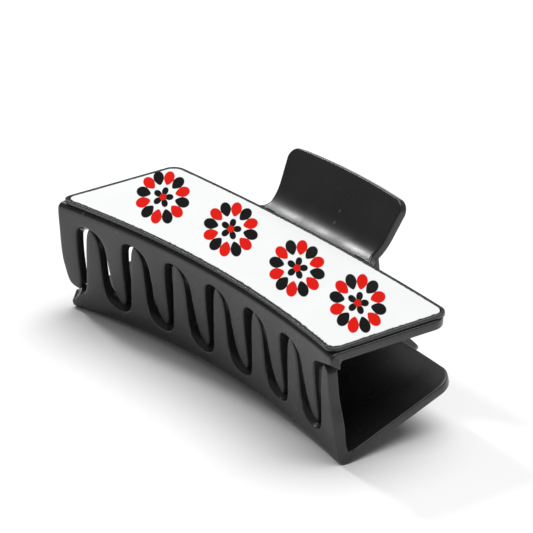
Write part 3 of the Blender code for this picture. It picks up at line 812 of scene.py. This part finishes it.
def round_off(distance, radius):
    """How far a quarter round of this radius has fallen at a distance from the edge."""
    left = radius - np.clip(distance, 0, radius)
    return radius - np.sqrt(radius ** 2 - left ** 2)


def tray_top(distance):
    """The rim's rounded outside, its flat top, its lip, then the floor."""
    top = TRAY_GAP + TRAY_HEIGHT - round_off(distance, RIM_ROUND)
    top = top - round_off(RIM - distance, LIP_ROUND)
    return np.where(distance > RIM - 1e-8, TRAY_GAP + TRAY_FLOOR, top)


def tray_foot(distance):
    """The underside: raised along the edge by the undercut, flat on the plate within it."""
    return TRAY_GAP + UNDERCUT * (distance < UNDERCUT)


tray_rings = np.concatenate((RIM_ROUND * np.array((0.05, 0.2, 0.5, 1.0)),
                             (UNDERCUT - 0.01 * MM, UNDERCUT + 0.01 * MM),
                             RIM - LIP_ROUND * np.array((1.0, 0.5, 0.2, 0.04)),
                             (RIM, RIM + 0.15 * MM)))
tray_points, tray_faces, tray_edges = plate_layer(
    TRAY_INSET, TRAY_CORNER, tray_rings, 3.0 * MM, tray_top, tray_foot)
make_piece("label_tray_moulding", settled(tray_points), tray_faces,
           black_plastic("satin_black_plastic", (0.016, 0.016, 0.017), 0.34, 0.000006),
           "upper_half", ["label_tray"], tray_edges)

# ---------------------------------------------------------------- adhesive film
# Clear double-sided film, die-cut a little smaller than the label. It is stuck to the
# tray's floor and holds the label in the tray.
FILM_GAP = 0.1 * MM
FILM = 0.15 * MM
FILM_INSET = 1.5 * MM        # its edge inside the label's
LABEL_INSET = TRAY_INSET + RIM + FILM_GAP
LABEL_CORNER = TRAY_CORNER - RIM / 2
film_bottom = TRAY_GAP + TRAY_FLOOR + FILM_GAP

film = Finish("clear_adhesive", 0.55)
film_tone = film.spread(film.noise(180.0, 3.0), 0.3, 0.7, 0.0, 1.0)
film_points, film_faces, _ = plate_layer(
    LABEL_INSET + FILM_INSET, LABEL_CORNER, np.array((0.03, 0.1)) * MM, 4.0 * MM,
    lambda d: film_bottom + FILM - round_off(d, 0.04 * MM), lambda d: film_bottom + 0 * d)
make_piece("adhesive_film", settled(film_points), film_faces,
           film.set(Base_Color=film.mix(film_tone, (0.70, 0.69, 0.62), (0.78, 0.77, 0.71)),
                    Normal=film.bump(film.noise(500.0), 0.00001)),
           "upper_half", ["label_adhesive"])

# ---------------------------------------------------------------- printed label
# Stiff white card with a satin laminate, cut to the tray and printed in red and black with
# four petal rosettes; near-black patches along its edge are painted shade of the gap to the rim.
LABEL = 0.35 * MM
BLACK_INK = (0.004, 0.004, 0.004)
RED_INK = (0.64, 0.008, 0.003)
PETALS = 12                  # in the wreath
FLOWER_PETALS = 5            # in the flower inside it
# The shapes' edges in mark radii: the value at a petal's side, and the change to its middle.
WREATH_OUTSIDE = (0.69, 0.30)
WREATH_INSIDE = (0.72, -0.26)
FLOWER_OUTSIDE = (0.08, 0.30)
HUB = 0.12
# Each mark is drawn with these two directions on the card as its own level and upright.
MARK_CENTRES = ((-37.8, -7.6), (-13.4, -5.7), (13.0, -6.7), (36.0, -7.3))
MARK_LEVEL = Vector((3.88, 5.62)) * MM
MARK_UPRIGHT = Vector((-12.9, 10.4)) * MM
label_bottom = film_bottom + FILM + FILM_GAP


def printed_card():
    """White card with the marks in ink. In a mark's own axes, a petal's outline lies at a
    radius that changes with a root of the absolute sine or cosine of the angle times half
    the number of petals; a wreath's petals are red where that sine is above 0, else black."""
    card = Finish("white_print", 0.5, specular=0.04)
    split = card.tree.nodes.new("ShaderNodeSeparateXYZ")
    card.link(split.inputs[0], card.place)
    white = card.mix(card.spread(card.noise(60.0), 0.3, 0.7, 0.0, 1.0),
                     (0.775, 0.785, 0.785), (0.795, 0.805, 0.805))
    spread = MARK_LEVEL.x * MARK_UPRIGHT.y - MARK_LEVEL.y * MARK_UPRIGHT.x
    colour = white
    for centre in MARK_CENTRES:
        x = card.math("SUBTRACT", split.outputs[0], centre[0] * MM)
        y = card.math("SUBTRACT", split.outputs[1], centre[1] * MM)
        level = card.math("MULTIPLY_ADD", x, MARK_UPRIGHT.y / spread,
                          card.math("MULTIPLY", y, -MARK_UPRIGHT.x / spread))
        upright = card.math("MULTIPLY_ADD", x, -MARK_LEVEL.y / spread,
                            card.math("MULTIPLY", y, MARK_LEVEL.x / spread))
        radius = card.math("SQRT", card.math("MULTIPLY_ADD", level, level,
                                             card.math("MULTIPLY", upright, upright)))
        angle = card.math("ARCTAN2", upright, level)
        wave = card.math("SINE", card.math("MULTIPLY", angle, PETALS / 2))
        petal = card.math("POWER", card.math("ABSOLUTE", wave), 0.5)
        tip = card.math("MULTIPLY_ADD", petal, WREATH_OUTSIDE[1], WREATH_OUTSIDE[0])
        root = card.math("MULTIPLY_ADD", petal, WREATH_INSIDE[1], WREATH_INSIDE[0])
        wreath = card.math("MULTIPLY", card.inked(tip, radius), card.inked(radius, root))
        turn = card.math("MULTIPLY", angle, FLOWER_PETALS / 2)
        flower = card.math("POWER", card.math("ABSOLUTE", card.math("COSINE", turn)), 0.6)
        flower = card.inked(card.math("MULTIPLY_ADD", flower, FLOWER_OUTSIDE[1],
                                      FLOWER_OUTSIDE[0]), radius)
        colour = card.mix(wreath, colour, card.mix(card.inked(wave, 0.0), BLACK_INK, RED_INK))
        colour = card.mix(flower, colour, BLACK_INK)
        colour = card.mix(card.inked(HUB, radius), colour, RED_INK)
    # painted shade: near-black patches along the label's edge stand in for the shaded gap to the
    # rim
    near_edge = card.spread(card.attribute("edge"), 0.0, 0.28 * MM, 1.0, 0.0)
    gap_shade_patches = card.spread(card.noise(700.0, 3.0), 0.52, 0.56, 0.0, 1.0)
    painted_gap_shade = card.math("MULTIPLY", gap_shade_patches, near_edge)
    colour = card.mix(painted_gap_shade, colour, (0.03, 0.03, 0.03))
    gloss = card.spread(card.noise(150.0), 0.3, 0.7, 0.45, 0.55)
    return card.set(Base_Color=colour, Roughness=gloss,
                    Normal=card.bump(card.noise(1400.0, 2.0), 0.000004))


label_points, label_faces, label_edges = plate_layer(
    LABEL_INSET, LABEL_CORNER, np.array((0.01, 0.03, 0.07, 0.12, 0.3)) * MM, 3.0 * MM,
    lambda d: label_bottom + LABEL - round_off(d, 0.12 * MM), lambda d: label_bottom + 0 * d)
make_piece("printed_label", settled(label_points), label_faces, printed_card(),
           "upper_half", ["label_insert"], label_edges)
